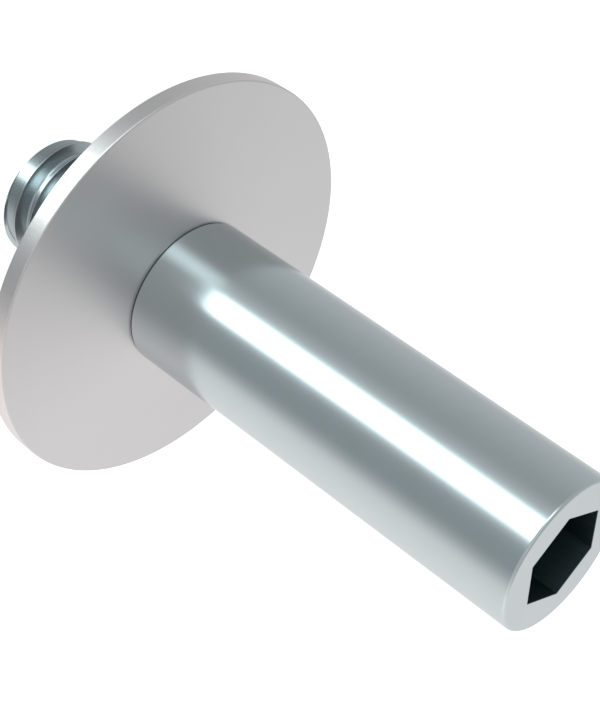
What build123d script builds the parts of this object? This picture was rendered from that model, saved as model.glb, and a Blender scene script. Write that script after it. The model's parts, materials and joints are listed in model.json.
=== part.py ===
from build123d import *
from itertools import pairwise
from math import ceil, cos, radians, sin, sqrt, tan
import os

# A striker bolt: the round pin that a rotary latch closes on, turned in one piece with the threaded stud
# that fixes it, and a dished washer caught between the pin's shoulder and the thread.
# Millimetres. The bolt stands on the flat end of its stud: the origin is the centre of that end,
# +Z runs up the axis to the head, and one corner of the hex socket points along +X.

# Pin
pin_diameter = 12.7
pin_length = 38.3
head_edge_radius = 0.5
head_edge_steps = 3  # straight bevels that the rounding is turned in

# Hex socket in the head
socket_across_flats = 7.14
socket_depth = 6.5
drill_point_angle = 118

# Threaded stud, measured from its end face to the shoulder
stud_length = 17.5
thread_diameter = 11.11
thread_pitch = 1.814
thread_angle = 60
tip_chamfer = 0.5
root_height_on_x = 0.71  # where the middle of a thread root crosses the +X side, above the end face
neck_relief = 0.08  # how far the neck under the shoulder is turned below the thread's root

# Washer, with its crown against the shoulder
washer_diameter = 35.8
washer_gauge = 1.52
washer_dish_angle = 7
washer_rim_bevel = 0.15  # on the crown side; the other edge is left square
washer_hole_clearance = 0.14  # over the blank that the thread is rolled on
washer_play = 0.2  # between the shoulder and the thread's run-out

# The thread's form: a truncated V, an eighth of the pitch wide at its crest and a quarter at its root
crest_width = thread_pitch / 8
root_width = thread_pitch / 4
flank_width = (thread_pitch - crest_width - root_width) / 2
crest_radius = thread_diameter / 2
root_radius = crest_radius - flank_width / tan(radians(thread_angle / 2))

# A rolled thread grows from a blank that has the thread's pitch diameter, so a washer that passes the blank
# can't pass the finished crests
v_height = sqrt(3) / 2 * thread_pitch
blank_radius = crest_radius - 3 / 8 * v_height
hole_radius = blank_radius + washer_hole_clearance
neck_radius = root_radius - neck_relief

# Heights up the axis. The thread runs out in a 45 degree bevel, and the washer's lower lip meets that bevel
# after its play
washer_thickness = washer_gauge / cos(radians(washer_dish_angle))
lip_stop = stud_length - washer_thickness - washer_play
thread_top = lip_stop + hole_radius - neck_radius
overall_length = stud_length + pin_length


def revolved(*points):
    """The solid that a closed outline of (radius, height) points sweeps round the axis."""
    return revolve(make_face(Plane.XZ * Polyline(*points, close=True)), Axis.Z)


def helix(radius, height, turns=1):
    """A right-hand helix of the thread's pitch, starting on the +X side."""
    return Edge.make_helix(thread_pitch, turns * thread_pitch, radius, center=(0, 0, height))


def thread_corners(height):
    """One pitch of the thread in section, root first, as (radius, height) with the root centred on height."""
    bottom = height - root_width / 2
    return [
        (root_radius, bottom),
        (root_radius, bottom + root_width),
        (crest_radius, bottom + root_width + flank_width),
        (crest_radius, bottom + root_width + flank_width + crest_width),
        (root_radius, bottom + thread_pitch),
    ]


def thread_turn(height):
    """Root, flank, crest and flank of one turn, each a ribbon ruled between two helices."""
    edges = [helix(radius, z) for radius, z in thread_corners(height)]
    return [Face.make_surface_from_curves(low, high) for low, high in pairwise(edges)]


def thread_end(height):
    """What closes the screw below its first turn or above its last: a ramp to the axis, and its step."""
    corners = thread_corners(height)
    radius, bottom = corners[0]
    top = bottom + thread_pitch
    ramp = Face.make_surface_from_curves(helix(radius, bottom), Edge.make_line((0, 0, bottom), (0, 0, top)))
    outline = [(0, 0, bottom)] + [(r, 0, z) for r, z in corners] + [(0, 0, top)]
    return [ramp, Face(Wire.make_polygon(outline, close=True))]


def make_thread():
    """The threaded rod from the end face to the neck: an endless screw, cut to length with bevelled ends."""
    first_root = root_height_on_x - 2 * thread_pitch
    turns = ceil((thread_top - first_root) / thread_pitch) + 1
    faces = thread_end(first_root) + thread_end(first_root + turns * thread_pitch)
    for turn in range(turns):
        faces += thread_turn(first_root + turn * thread_pitch)
    screw = Solid(Shell(faces))

    outside = crest_radius + thread_pitch
    trim = revolved(
        (0, 0),
        (crest_radius - tip_chamfer, 0),
        (outside, outside - crest_radius + tip_chamfer),
        (outside, thread_top - (outside - neck_radius)),
        (neck_radius, thread_top),
        (0, thread_top),
    )
    return screw & trim


def make_pin():
    """Pin and neck, with the head's edge rounded and the hex socket sunk into the head."""
    pin_radius = pin_diameter / 2
    head_edge = []
    for step in range(head_edge_steps + 1):
        angle = radians(90 * step / head_edge_steps)
        radius = pin_radius - head_edge_radius * (1 - cos(angle))
        head_edge.append((radius, overall_length - head_edge_radius * (1 - sin(angle))))

    body = revolved(
        (0, thread_top - thread_pitch),
        (neck_radius, thread_top - thread_pitch),
        (neck_radius, stud_length),
        (pin_radius, stud_length),
        *head_edge,
        (0, overall_length),
    )

    head_face = Plane.XY.offset(overall_length)
    hexagon = RegularPolygon(socket_across_flats / 2, 6, major_radius=False)
    socket = extrude(head_face * hexagon, -socket_depth)

    socket_floor = overall_length - socket_depth
    drill_radius = socket_across_flats / 2
    drill_tip = drill_radius / tan(radians(drill_point_angle / 2))
    drill_point = revolved((0, socket_floor), (drill_radius, socket_floor), (0, socket_floor - drill_tip))
    return body - socket - drill_point


def make_washer():
    """A disc dished into a shallow cone, crown up, with the upper edge of its rim broken."""
    rim_radius = washer_diameter / 2
    rim_drop = (rim_radius - hole_radius) * tan(radians(washer_dish_angle))
    section = make_face(
        Plane.XZ
        * Polyline(
            (hole_radius, stud_length - washer_thickness),
            (rim_radius, stud_length - washer_thickness - rim_drop),
            (rim_radius, stud_length - rim_drop),
            (hole_radius, stud_length),
            close=True,
        )
    )
    upper_rim_corner = section.vertices().sort_by(Axis.X)[-2:].sort_by(Axis.Z)[-1]
    return revolve(chamfer(upper_rim_corner, washer_rim_bevel), Axis.Z)


nodes = {
    "striker_bolt": make_pin() + make_thread(),
    "washer": make_washer(),
}

os.makedirs("parts", exist_ok=True)
for name, solid in nodes.items():
    export_step(solid, f"parts/{name}.step")
    box = solid.bounding_box()
    print(name, f"{solid.volume:.1f} mm3", "from", tuple(box.min), "to", tuple(box.max))
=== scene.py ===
"""A striker bolt, standing on the end of its stud in plain studio light.

The bolt is one piece turned from steel bar: a smooth pin with a hex socket in its head, a shoulder, a
short neck and a rolled thread. A dished washer rests against the shoulder. Sizes are in metres, in the
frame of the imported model: the origin is the centre of the stud's end face, +Z runs up to the head and
+X through a corner of the hex.
"""

import json
import math

import bmesh
import bpy
from mathutils import Matrix, Vector


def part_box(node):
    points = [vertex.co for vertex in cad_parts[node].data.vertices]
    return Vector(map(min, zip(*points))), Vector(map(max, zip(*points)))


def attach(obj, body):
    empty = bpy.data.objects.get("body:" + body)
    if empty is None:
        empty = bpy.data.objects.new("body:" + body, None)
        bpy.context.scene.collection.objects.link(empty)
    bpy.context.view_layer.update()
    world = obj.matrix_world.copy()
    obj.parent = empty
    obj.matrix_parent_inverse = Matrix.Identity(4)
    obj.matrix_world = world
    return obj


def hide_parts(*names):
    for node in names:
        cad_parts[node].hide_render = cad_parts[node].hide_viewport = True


MM = 0.001
TURN = 2 * math.pi

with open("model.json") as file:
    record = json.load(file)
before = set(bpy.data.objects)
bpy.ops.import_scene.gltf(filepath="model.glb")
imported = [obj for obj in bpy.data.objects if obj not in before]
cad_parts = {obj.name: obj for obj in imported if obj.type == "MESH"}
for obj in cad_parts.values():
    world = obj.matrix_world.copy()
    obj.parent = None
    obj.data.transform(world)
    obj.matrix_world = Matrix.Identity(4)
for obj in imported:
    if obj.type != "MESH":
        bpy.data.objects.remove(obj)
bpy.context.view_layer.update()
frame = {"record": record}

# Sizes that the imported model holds
mounts = {mount["name"]: mount for mount in frame["record"]["mounts"]}
overall_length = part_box("striker_bolt")[1].z
washer_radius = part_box("washer")[1].x
pin_radius = mounts["latch_pin"]["dims"]["r_mm"] * MM
pin_wall = mounts["latch_pin"]["dims"]["length_mm"] * MM
shoulder_height = mounts["latch_pin"]["pos_m"][2] - pin_wall / 2
crest_radius = mounts["threaded_stud"]["dims"]["r_mm"] * MM
socket_apothem = mounts["drive_socket"]["dims"]["r_mm"] * MM
socket_depth = mounts["drive_socket"]["dims"]["length_mm"] * MM

# Sizes that belong to the bolt's own details
drill_point_angle = math.radians(118)
thread_pitch = 1.814 * MM
thread_angle = math.radians(60)
crest_rounding = 0.06 * MM
root_rounding = 0.34 * MM
tip_chamfer = 0.4 * MM
plain_end = 1.25 * MM
root_height_on_x = 0.77 * MM
neck_relief = 0.08 * MM
shoulder_bevel = 0.08 * MM
foot_rim_drop = 0.07 * MM
foot_rim_width = 0.3 * MM
head_edge_rounding = 0.25 * MM
socket_edge_break = 0.03 * MM

# Sizes that belong to the washer's own details
washer_gauge = 1.52 * MM
washer_dish_angle = math.radians(7)
washer_hole_clearance = 0.14 * MM
washer_rim_rounding = 0.15 * MM
washer_edge_rounding = 0.06 * MM
washer_play = 0.2 * MM

# The thread: a truncated V, an eighth of the pitch wide at its crest and a quarter at its root
crest_width = thread_pitch / 8
root_width = thread_pitch / 4
flank_width = (thread_pitch - crest_width - root_width) / 2
root_radius = crest_radius - flank_width / math.tan(thread_angle / 2)
tip_radius = crest_radius - tip_chamfer
neck_radius = root_radius - neck_relief

# The washer's hole passes the blank that the thread is rolled on, which is as wide as the pitch diameter
v_height = math.sqrt(3) / 2 * thread_pitch
blank_radius = crest_radius - 3 / 8 * v_height
hole_radius = blank_radius + washer_hole_clearance
washer_thickness = washer_gauge / math.cos(washer_dish_angle)
thread_top = shoulder_height - washer_thickness - washer_play + hole_radius - neck_radius

# How finely the pieces are divided, and what parts their surfaces
bolt_columns = 144
washer_columns = 240
rounding_steps = 5
longest_thread_step = 0.12 * MM
weld_distance = 0.0001 * MM
sharp_angle = math.radians(28)

# Which material slot each surface takes
pin_finish, socket_slot_painted_shade, thread_finish = range(3)
face_finish, rim_finish = range(2)


def rounded(outline):
    """An outline of (radius, height, rounding) corners as points, each corner rounded to its own radius.

    A point close by on each side of an arc keeps the shading of the straight runs flat."""
    just_past = 1.1
    points = []
    for index, (radius, height, rounding) in enumerate(outline):
        corner = Vector((radius, height))
        if not rounding:
            points.append(corner)
            continue
        to_last = (Vector(outline[index - 1][:2]) - corner).normalized()
        to_next = (Vector(outline[(index + 1) % len(outline)][:2]) - corner).normalized()
        half_angle = to_last.angle(to_next) / 2
        reach = rounding / math.tan(half_angle)
        centre = corner + (to_last + to_next).normalized() * (rounding / math.sin(half_angle))
        arc_start = (corner + to_last * reach - centre).normalized()
        arc_end = (corner + to_next * reach - centre).normalized()
        points.append(corner + to_last * reach * just_past)
        for step in range(rounding_steps + 1):
            points.append(centre + arc_start.slerp(arc_end, step / rounding_steps) * rounding)
        points.append(corner + to_next * reach * just_past)
    return [tuple(point) for point in points]


def divided(points, longest):
    """The same points, with the runs between them divided into steps no longer than this."""
    section = []
    for start, end in zip(points, points[1:]):
        steps = math.ceil(math.dist(start, end) / longest)
        for step in range(steps):
            section.append(tuple(a + (b - a) * step / steps for a, b in zip(start, end)))
    return section + [points[-1]]


class Skin:
    """Gathers the faces of one piece. Points that fall together are made one."""

    def __init__(self):
        self.points = []
        self.faces = []
        self.finishes = []
        self.known = {}

    def point(self, position):
        """The number of the point at this place."""
        key = tuple(round(value / weld_distance) for value in position)
        if key not in self.known:
            self.known[key] = len(self.points)
            self.points.append(position)
        return self.known[key]

    def column(self, section, angle):
        """The numbers of a section's (radius, height) points, turned to their angle round the axis."""
        return [self.point((r * math.cos(angle), r * math.sin(angle), height)) for r, height in section]

    def face(self, corners, finish):
        """Adds a face, unless too few of its corners are apart."""
        kept = list(dict.fromkeys(corners))
        if len(kept) > 2:
            self.faces.append(kept)
            self.finishes.append(finish)

    def piece(self, name):
        """The finished object, shaded smooth but for its sharp edges."""
        mesh = bpy.data.meshes.new(name)
        mesh.from_pydata(self.points, [], self.faces)
        mesh.polygons.foreach_set("material_index", self.finishes)
        mesh.polygons.foreach_set("use_smooth", [True] * len(self.faces))
        mesh.set_sharp_from_angle(angle=sharp_angle)
        made = bpy.data.objects.new(name, mesh)
        bpy.context.scene.collection.objects.link(made)
        return made


def thread_section():
    """One pitch of the thread as (radius, offset along the axis), from the middle of a root to the next."""
    root_end = root_width / 2
    crest_start = root_end + flank_width
    crest_end = crest_start + crest_width
    next_root = crest_end + flank_width
    outline = [
        (root_radius, 0.0, 0),
        (root_radius, root_end, root_rounding),
        (crest_radius, crest_start, crest_rounding),
        (crest_radius, crest_end, crest_rounding),
        (root_radius, next_root, root_rounding),
        (root_radius, thread_pitch, 0),
    ]
    return divided(rounded(outline), longest_thread_step)[:-1]


def trimmed(radius, height):
    """A radius on the thread, between the tip's chamfer and the bevel that the thread runs out in.

    The stud's end is left plain, so the groove only starts above it."""
    plain = tip_radius - max(0.0, height - plain_end)
    return min(max(radius, plain), tip_radius + height, neck_radius + thread_top - height)


def stud_section(column, one_pitch):
    """The stud in one column. Its rows climb with the helix, and stop at the end face and at the neck."""
    turns_below = 2
    turns = turns_below + math.ceil(thread_top / thread_pitch) + 1
    first_root = root_height_on_x + thread_pitch * (column / bolt_columns - turns_below)
    section = []
    for turn in range(turns):
        for radius, offset in one_pitch:
            height = first_root + turn * thread_pitch + offset
            if height <= 0:
                section.append((tip_radius, 0.0))
            elif height >= thread_top:
                section.append((neck_radius, thread_top))
            else:
                section.append((trimmed(radius, height), height))
    return section


def pin_section():
    """The neck, the shoulder and the pin, up to the head's rounded edge.

    A low rim at the pin's foot stands in the gap that the washer's cone leaves under the shoulder."""
    foot_radius = pin_radius - shoulder_bevel
    foot_height = shoulder_height - foot_rim_drop
    outline = [
        (neck_radius, thread_top, 0),
        (neck_radius, shoulder_height, 0),
        (foot_radius - foot_rim_width, shoulder_height, 0),
        (foot_radius - foot_rim_width, foot_height, 0),
        (foot_radius, foot_height, 0),
        (foot_radius, shoulder_height, 0),
        (pin_radius, shoulder_height + shoulder_bevel, 0),
        (pin_radius, overall_length, head_edge_rounding),
        (socket_apothem, overall_length, 0),
    ]
    return rounded(outline)[1:-1]


def hexagon_radius(angle, apothem):
    """How far the side of a hexagon is from the axis at this angle. It has a corner at angle 0."""
    sixth = TURN / 6
    return apothem / math.cos(angle % sixth - sixth / 2)


def socket_section(angle):
    """The socket in one column: its broken edge, its wall, its floor and the drill's point."""
    floor_height = overall_length - socket_depth
    wall = hexagon_radius(angle, socket_apothem)
    return [
        (hexagon_radius(angle, socket_apothem + socket_edge_break), overall_length),
        (wall, overall_length - socket_edge_break),
        (wall, floor_height),
        (socket_apothem, floor_height),
        (0.0, floor_height - socket_apothem / math.tan(drill_point_angle / 2)),
    ]


def make_bolt():
    """Stud, pin and socket as one closed skin, in columns from the end face to the drill's point."""
    skin = Skin()
    one_pitch = thread_section()
    pin = pin_section()
    columns = []
    for number in range(bolt_columns):
        angle = TURN * number / bolt_columns
        stud = stud_section(number, one_pitch)
        columns.append(skin.column(stud + pin + socket_section(angle), angle))
    last_stud_row = len(stud) - 1
    first_socket_row = len(stud) + len(pin)

    def row_beyond(row, number):
        """The row that carries this one on in the next column. Past +X the helix has climbed one turn."""
        if number < bolt_columns - 1 or row > last_stud_row:
            return row
        return min(row + len(one_pitch), last_stud_row)

    centre = skin.point((0.0, 0.0, 0.0))
    for number, here in enumerate(columns):
        beyond = columns[(number + 1) % bolt_columns]
        skin.face([beyond[0], here[0], centre], thread_finish)
        for row in range(len(here) - 1):
            low = beyond[row_beyond(row, number)]
            high = beyond[row_beyond(row + 1, number)]
            if row < last_stud_row:
                finish = thread_finish
            elif row < first_socket_row:
                finish = pin_finish
            else:
                finish = socket_slot_painted_shade
            skin.face([here[row], low, high, here[row + 1]], finish)
    return skin.piece("turned_bolt")


def make_washer():
    """The dished washer: a slice of a cone's wall swept round the axis."""
    rim_drop = (washer_radius - hole_radius) * math.tan(washer_dish_angle)
    under = shoulder_height - washer_thickness
    section = rounded(
        [
            (hole_radius, under, washer_edge_rounding),
            (washer_radius, under - rim_drop, washer_edge_rounding),
            (washer_radius, shoulder_height - rim_drop, washer_rim_rounding),
            (hole_radius, shoulder_height, washer_edge_rounding),
        ]
    )
    skin = Skin()
    columns = [skin.column(section, TURN * n / washer_columns) for n in range(washer_columns)]
    for number, here in enumerate(columns):
        beyond = columns[(number + 1) % washer_columns]
        for row in range(len(here)):
            above = (row + 1) % len(here)
            middle = (section[row][0] + section[above][0]) / 2
            on_rim = middle > washer_radius - washer_edge_rounding / 2
            corners = [here[row], beyond[row], beyond[above], here[above]]
            skin.face(corners, rim_finish if on_rim else face_finish)
    return skin.piece("dished_washer")


bolt = make_bolt()
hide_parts("striker_bolt")
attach(bolt, "root")

washer = make_washer()
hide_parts("washer")
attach(washer, "root")


def linear(hex_colour):
    """An sRGB colour such as "#C0C8CC" as the linear values that a shader takes."""
    values = []
    for start in (1, 3, 5):
        level = int(hex_colour[start : start + 2], 16) / 255
        values.append(level / 12.92 if level <= 0.04045 else ((level + 0.055) / 1.055) ** 2.4)
    return (*values, 1.0)


def new_material(name):
    """An empty node material, and its tree."""
    material = bpy.data.materials.new(name)
    material.use_nodes = True
    material.node_tree.nodes.clear()
    return material, material.node_tree


def add(tree, kind, inputs=None, **settings):
    """Adds a node with its settings. An input is a value, or another node's output to link it to."""
    made = tree.nodes.new(kind)
    for name, value in settings.items():
        setattr(made, name, value)
    for name, value in (inputs or {}).items():
        if isinstance(value, bpy.types.NodeSocket):
            tree.links.new(value, made.inputs[name])
        else:
            made.inputs[name].default_value = value
    return made


def finish_metal(tree, cloud, tones, roughness, grain, depth):
    """Ends a metal's tree: tone and roughness vary with one pattern, and a fine relief follows another.

    The specular tint keeps surfaces that are seen at a glancing angle from going white."""
    first, second = (linear(tone) for tone in tones)
    tone = add(tree, "ShaderNodeMix", {"Factor": cloud, "A": first, "B": second}, data_type="RGBA")
    smooth, dull = roughness
    dullness = add(tree, "ShaderNodeMapRange", {"Value": cloud, "To Min": smooth, "To Max": dull})
    relief = add(tree, "ShaderNodeBump", {"Height": grain, "Distance": depth})
    shader = add(
        tree,
        "ShaderNodeBsdfPrincipled",
        {
            "Base Color": tone.outputs["Result"],
            "Metallic": 1.0,
            "Roughness": dullness.outputs["Result"],
            "Specular Tint": linear("#ECECEC"),
            "Normal": relief.outputs["Normal"],
        },
    )
    add(tree, "ShaderNodeOutputMaterial", {"Surface": shader.outputs["BSDF"]})


def zinc_plate():
    """Clear zinc plate on turned steel: a cool, bright metal that mirrors the room softly.

    The plate clouds very slightly from place to place, and the lathe's feed stays under it as fine rings."""
    material, tree = new_material("zinc_plate_on_turned_steel")
    cloud_size = 3.0 * MM
    feed = 0.12 * MM
    ring_depth = 0.0002 * MM
    place = add(tree, "ShaderNodeNewGeometry").outputs["Position"]
    height = add(tree, "ShaderNodeSeparateXYZ", {"Vector": place}).outputs["Z"]
    cloud = add(tree, "ShaderNodeTexNoise", {"Vector": place, "Scale": 1 / cloud_size, "Detail": 3.0})
    rings = add(
        tree, "ShaderNodeTexNoise", {"W": height, "Scale": 1 / feed, "Detail": 1.0}, noise_dimensions="1D"
    )
    tones = ("#C6CDCF", "#CBD1D4")
    finish_metal(tree, cloud.outputs["Fac"], tones, (0.17, 0.2), rings.outputs["Fac"], ring_depth)
    return material


def rolled_thread():
    """The plated thread: the same zinc as the pin's, duller and a darker tone.

    The real grain is too fine to show, so it is drawn a few times coarser."""
    material, tree = new_material("zinc_plate_on_rolled_thread")
    cloud_size = 1.2 * MM
    grain_size = 0.2 * MM
    grain_depth = 0.0008 * MM
    place = add(tree, "ShaderNodeNewGeometry").outputs["Position"]
    cloud = add(tree, "ShaderNodeTexNoise", {"Vector": place, "Scale": 1 / cloud_size, "Detail": 3.0})
    grain = add(tree, "ShaderNodeTexNoise", {"Vector": place, "Scale": 1 / grain_size, "Detail": 2.0})
    tones = ("#B0B8BB", "#B8BFC2")
    finish_metal(tree, cloud.outputs["Fac"], tones, (0.22, 0.26), grain.outputs["Fac"], grain_depth)
    return material


def tumbled_zinc():
    """Zinc plate on a stamped washer that was tumbled: duller and warmer than the bolt, with a fine grain.

    The real grain is too fine to show, so it is drawn a few times coarser."""
    material, tree = new_material("tumbled_zinc_on_stamped_steel")
    cloud_size = 5.0 * MM
    grain_size = 0.25 * MM
    grain_depth = 0.002 * MM
    place = add(tree, "ShaderNodeNewGeometry").outputs["Position"]
    cloud = add(tree, "ShaderNodeTexNoise", {"Vector": place, "Scale": 1 / cloud_size, "Detail": 3.0})
    grain = add(tree, "ShaderNodeTexNoise", {"Vector": place, "Scale": 1 / grain_size, "Detail": 2.0})
    tones = ("#CECCCC", "#D3D1D1")
    finish_metal(tree, cloud.outputs["Fac"], tones, (0.3, 0.34), grain.outputs["Fac"], grain_depth)
    return material


def sheared_edge():
    """The washer's rim: a paler tone than the washer's face, rougher and grained."""
    material, tree = new_material("plated_sheared_edge")
    grain_size = 0.22 * MM
    grain_depth = 0.006 * MM
    place = add(tree, "ShaderNodeNewGeometry").outputs["Position"]
    grain = add(tree, "ShaderNodeTexNoise", {"Vector": place, "Scale": 1 / grain_size, "Detail": 2.0})
    tones = ("#EAE2E1", "#F1E9E8")
    finish_metal(tree, grain.outputs["Fac"], tones, (0.32, 0.38), grain.outputs["Fac"], grain_depth)
    return material


def broached_socket_painted_shade():
    """The inside of the socket: painted shade, a dark tone for the recess, with the broach's marks down its
    walls.
    """
    material, tree = new_material("painted_shade_in_socket")
    mark_spacing = 0.2 * MM
    mark_depth = 0.003 * MM
    drawn_out = (1.0, 1.0, 0.04)
    place = add(tree, "ShaderNodeNewGeometry").outputs["Position"]
    along = add(tree, "ShaderNodeMapping", {"Vector": place, "Scale": drawn_out}).outputs["Vector"]
    marks = add(tree, "ShaderNodeTexNoise", {"Vector": along, "Scale": 1 / mark_spacing, "Detail": 2.0})
    # These dark tones are painted shade inside the recess
    tones = ("#54656A", "#62747A")
    finish_metal(tree, marks.outputs["Fac"], tones, (0.36, 0.44), marks.outputs["Fac"], mark_depth)
    return material


# In the order of the slot numbers above
bolt.data.materials.append(zinc_plate())
# The socket's material is painted shade: a dark tone inside the recess
bolt.data.materials.append(broached_socket_painted_shade())
bolt.data.materials.append(rolled_thread())
washer.data.materials.append(tumbled_zinc())
washer.data.materials.append(sheared_edge())


def sees_background(tree):
    """1 for the rays that see the background: the camera's, and those that metal or glass sends on."""
    path = add(tree, "ShaderNodeLightPath").outputs
    seen = add(tree, "ShaderNodeMath", {0: path["Is Camera Ray"], 1: path["Is Glossy Ray"]}).outputs[0]
    seen = add(tree, "ShaderNodeMath", {0: seen, 1: path["Is Transmission Ray"]}, use_clamp=True)
    return seen.outputs[0]


def white_world():
    """White surroundings where they are seen, and plain soft light from all round."""
    world = bpy.data.worlds.new("white_studio")
    world.use_nodes = True
    tree = world.node_tree
    tree.nodes.clear()
    soft_light = 0.5
    strength = add(
        tree, "ShaderNodeMapRange", {"Value": sees_background(tree), "To Min": soft_light, "To Max": 1.0}
    )
    background = add(
        tree, "ShaderNodeBackground", {"Color": linear("#FFFFFF"), "Strength": strength.outputs["Result"]}
    )
    add(tree, "ShaderNodeOutputWorld", {"Surface": background.outputs["Background"]})
    return world


def white_board():
    """Matt white board. Where it is seen it is lifted to white, and it keeps the object's shadow."""
    material, tree = new_material("matt_white_board")
    lift = 0.8
    glow = add(tree, "ShaderNodeMath", {0: sees_background(tree), 1: lift}, operation="MULTIPLY")
    board = add(tree, "ShaderNodeBsdfDiffuse", {"Color": linear("#E6E6E6")})
    lifted = add(tree, "ShaderNodeEmission", {"Color": linear("#FFFFFF"), "Strength": glow.outputs[0]})
    surface = add(tree, "ShaderNodeAddShader", {0: board.outputs["BSDF"], 1: lifted.outputs["Emission"]})
    add(tree, "ShaderNodeOutputMaterial", {"Surface": surface.outputs["Shader"]})
    return material


def make_floor(radius, corners=96):
    """A level disc of board under the bolt. The metal mirrors the tent in its place."""
    ring = [
        (radius * math.cos(TURN * n / corners), radius * math.sin(TURN * n / corners), 0.0)
        for n in range(corners)
    ]
    mesh = bpy.data.meshes.new("floor")
    mesh.from_pydata(ring, [], [list(range(corners))])
    mesh.materials.append(white_board())
    floor = bpy.data.objects.new("floor", mesh)
    bpy.context.scene.collection.objects.link(floor)
    floor.visible_glossy = False


def sector(tree, angle, centre, half, edge, level):
    """A strength that is this level in a sector round the bolt and fades out over its edges. In degrees."""
    off = add(tree, "ShaderNodeMath", {0: angle, 1: math.radians(centre)}, operation="SUBTRACT")
    off = add(tree, "ShaderNodeMath", {0: off.outputs[0]}, operation="ABSOLUTE")
    fade = add(
        tree,
        "ShaderNodeMapRange",
        {
            "Value": off.outputs[0],
            "From Min": math.radians(half - edge),
            "From Max": math.radians(half + edge),
            "To Min": level,
            "To Max": 0.0,
        },
        interpolation_type="SMOOTHSTEP",
    )
    return fade.outputs["Result"]


def round_tone(tree, share, stops):
    """A tone that changes round the bolt, from (degrees from +X, level) stops. It is slightly blue."""
    ramp = add(tree, "ShaderNodeValToRGB", {"Fac": share})
    elements = ramp.color_ramp.elements
    while len(elements) < len(stops):
        elements.new(1.0)
    for element, (degrees, level) in zip(elements, stops):
        element.position = degrees / 360 + 0.5
        grey = min(level, 1.0)
        element.color = (level * grey**0.12, level, level / grey**0.03, 1.0)
    return ramp.outputs["Color"]


# The tones that the metal mirrors near the ground and above it, set to match the photograph
low_tones = [
    (-180, 0.9), (-160, 0.69), (-140, 0.63), (-110, 0.54), (-86, 0.475), (-76, 0.48), (-64, 0.58),
    (-54, 0.68), (-14, 0.62), (-6, 0.465), (8, 0.42), (26, 0.415), (40, 0.585), (50, 0.8),
    (60, 0.94), (90, 1.07), (110, 1.12), (150, 1.1), (180, 0.9),
]
high_tones = [
    (-180, 0.88), (-150, 0.63), (-105, 0.58), (0, 0.62), (25, 0.6), (40, 0.72), (60, 1.0),
    (85, 1.2), (110, 1.1), (138, 1.04), (155, 0.99), (180, 0.88),
]


def tent_lining(radius):
    """What the metal sees round it: a grey side, a pale side and one bright strip, and grey overhead."""
    material, tree = new_material("studio_tent_lining")
    place = add(tree, "ShaderNodeTexCoord").outputs["Object"]
    along = add(tree, "ShaderNodeSeparateXYZ", {"Vector": place}).outputs
    angle = add(tree, "ShaderNodeMath", {0: along["Y"], 1: along["X"]}, operation="ARCTAN2").outputs[0]
    share = add(
        tree, "ShaderNodeMapRange", {"Value": angle, "From Min": -math.pi, "From Max": math.pi}
    ).outputs["Result"]

    def rise(low, high):
        """0 below one elevation and 1 above the other, in degrees."""
        bottom = radius * math.sin(math.radians(low))
        top = radius * math.sin(math.radians(high))
        fade = add(tree, "ShaderNodeMapRange", {"Value": along["Z"], "From Min": bottom, "From Max": top})
        return fade.outputs["Result"]

    ground = linear("#565A5E")
    overhead = linear("#C6C6C6")
    low_tone = round_tone(tree, share, low_tones)
    high_tone = round_tone(tree, share, high_tones)
    above_ground = rise(-8, 8)
    tone = add(
        tree, "ShaderNodeMix", {"Factor": rise(-54, -40), "A": ground, "B": low_tone}, data_type="RGBA"
    ).outputs["Result"]
    tone = add(
        tree, "ShaderNodeMix", {"Factor": above_ground, "A": tone, "B": high_tone}, data_type="RGBA"
    ).outputs["Result"]
    tone = add(
        tree, "ShaderNodeMix", {"Factor": rise(42, 62), "A": tone, "B": overhead}, data_type="RGBA"
    ).outputs["Result"]

    # The strip leans a little near the ground, and is narrower and dimmer above it
    most_lean = math.radians(-3.3)
    lean = add(tree, "ShaderNodeMapRange", {"Value": rise(-38, -27), "To Min": most_lean, "To Max": 0.0})
    leaning = add(tree, "ShaderNodeMath", {0: angle, 1: lean.outputs["Result"]}).outputs[0]
    low_strip = sector(tree, leaning, centre=-34.5, half=14.5, edge=6, level=3.0)
    high_strip = sector(tree, angle, centre=-58, half=10, edge=8, level=1.9)
    upper_glow = sector(tree, angle, centre=-25, half=26, edge=18, level=0.3)

    high_strip = add(
        tree, "ShaderNodeMath", {0: high_strip, 1: rise(38, 24)}, operation="MULTIPLY"
    ).outputs[0]
    for fade in (rise(28, 40), rise(70, 54)):
        upper_glow = add(tree, "ShaderNodeMath", {0: upper_glow, 1: fade}, operation="MULTIPLY").outputs[0]
    strip = add(tree, "ShaderNodeMix", {"Factor": above_ground, "A": low_strip, "B": high_strip})
    strength = add(tree, "ShaderNodeMath", {0: strip.outputs["Result"], 1: upper_glow}).outputs[0]

    lining = add(tree, "ShaderNodeEmission", {"Color": tone})
    bright = add(tree, "ShaderNodeEmission", {"Color": linear("#E9FFFF"), "Strength": strength})
    surface = add(tree, "ShaderNodeAddShader", {0: lining.outputs[0], 1: bright.outputs[0]})
    add(tree, "ShaderNodeOutputMaterial", {"Surface": surface.outputs["Shader"]})
    return material


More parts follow.
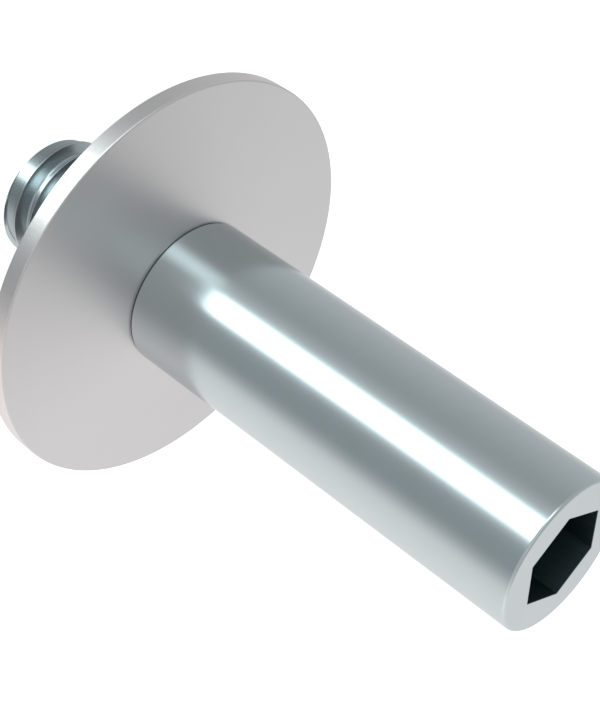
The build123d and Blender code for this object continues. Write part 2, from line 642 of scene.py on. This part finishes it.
def studio_tent(radius):
    """A ball round the bolt that only the metal sees, in place of the floor and the room."""
    mesh = bpy.data.meshes.new("studio_tent")
    ball = bmesh.new()
    bmesh.ops.create_uvsphere(ball, u_segments=96, v_segments=48, radius=radius)
    ball.to_mesh(mesh)
    ball.free()
    mesh.materials.append(tent_lining(radius))
    tent = bpy.data.objects.new("studio_tent", mesh)
    tent.location = (0, 0, overall_length / 2)
    bpy.context.scene.collection.objects.link(tent)
    tent.visible_camera = False
    tent.visible_diffuse = False
    tent.visible_transmission = False
    tent.visible_volume_scatter = False
    tent.visible_shadow = False


def direction(azimuth, elevation):
    """The unit vector that points this way from the bolt, in degrees. The azimuth starts at +X."""
    turn = math.radians(azimuth)
    rise = math.radians(elevation)
    return Vector((math.cos(turn) * math.cos(rise), math.sin(turn) * math.cos(rise), math.sin(rise)))


def overhead_softbox():
    """A soft lamp high up behind the bolt, facing it. The metal mirrors the tent and not the lamp."""
    data = bpy.data.lights.new("overhead_softbox", "AREA")
    data.shape = "SQUARE"
    data.size = 0.7
    data.energy = 3.0
    lamp = bpy.data.objects.new("overhead_softbox", data)
    away = direction(azimuth=150, elevation=75)
    distance = 1.0
    lamp.location = Vector((0.0, 0.0, overall_length / 2)) + away * distance
    lamp.rotation_mode = "QUATERNION"
    lamp.rotation_quaternion = away.to_track_quat("Z", "Y")
    lamp.visible_camera = False
    lamp.visible_glossy = False
    bpy.context.scene.collection.objects.link(lamp)


def photo_camera():
    """The photograph's camera: a short telephoto, close by and rolled. The bolt points down and right."""
    data = bpy.data.cameras.new("photo_camera")
    data.sensor_width = 36
    data.lens = 88.49
    data.clip_start = 0.01
    data.clip_end = 20
    camera = bpy.data.objects.new("photo_camera", data)
    bpy.context.scene.collection.objects.link(camera)
    bpy.context.scene.camera = camera

    target = Vector((-0.219, -0.624, 29.401)) * MM
    distance = 136.6 * MM
    back = direction(azimuth=-24.68, elevation=29.86)
    roll = math.radians(-125.25)
    level_right = Vector((0, 0, 1)).cross(back).normalized()
    level_up = back.cross(level_right)
    up = level_up * math.cos(roll) + level_right * math.sin(roll)
    turned = Matrix((up.cross(back), up, back)).transposed().to_4x4()
    camera.matrix_world = Matrix.Translation(target + back * distance) @ turned


scene = bpy.context.scene
scene.world = white_world()
scene.view_settings.view_transform = "Standard"
make_floor(radius=3.0)
studio_tent(radius=1.0)
overhead_softbox()
photo_camera()
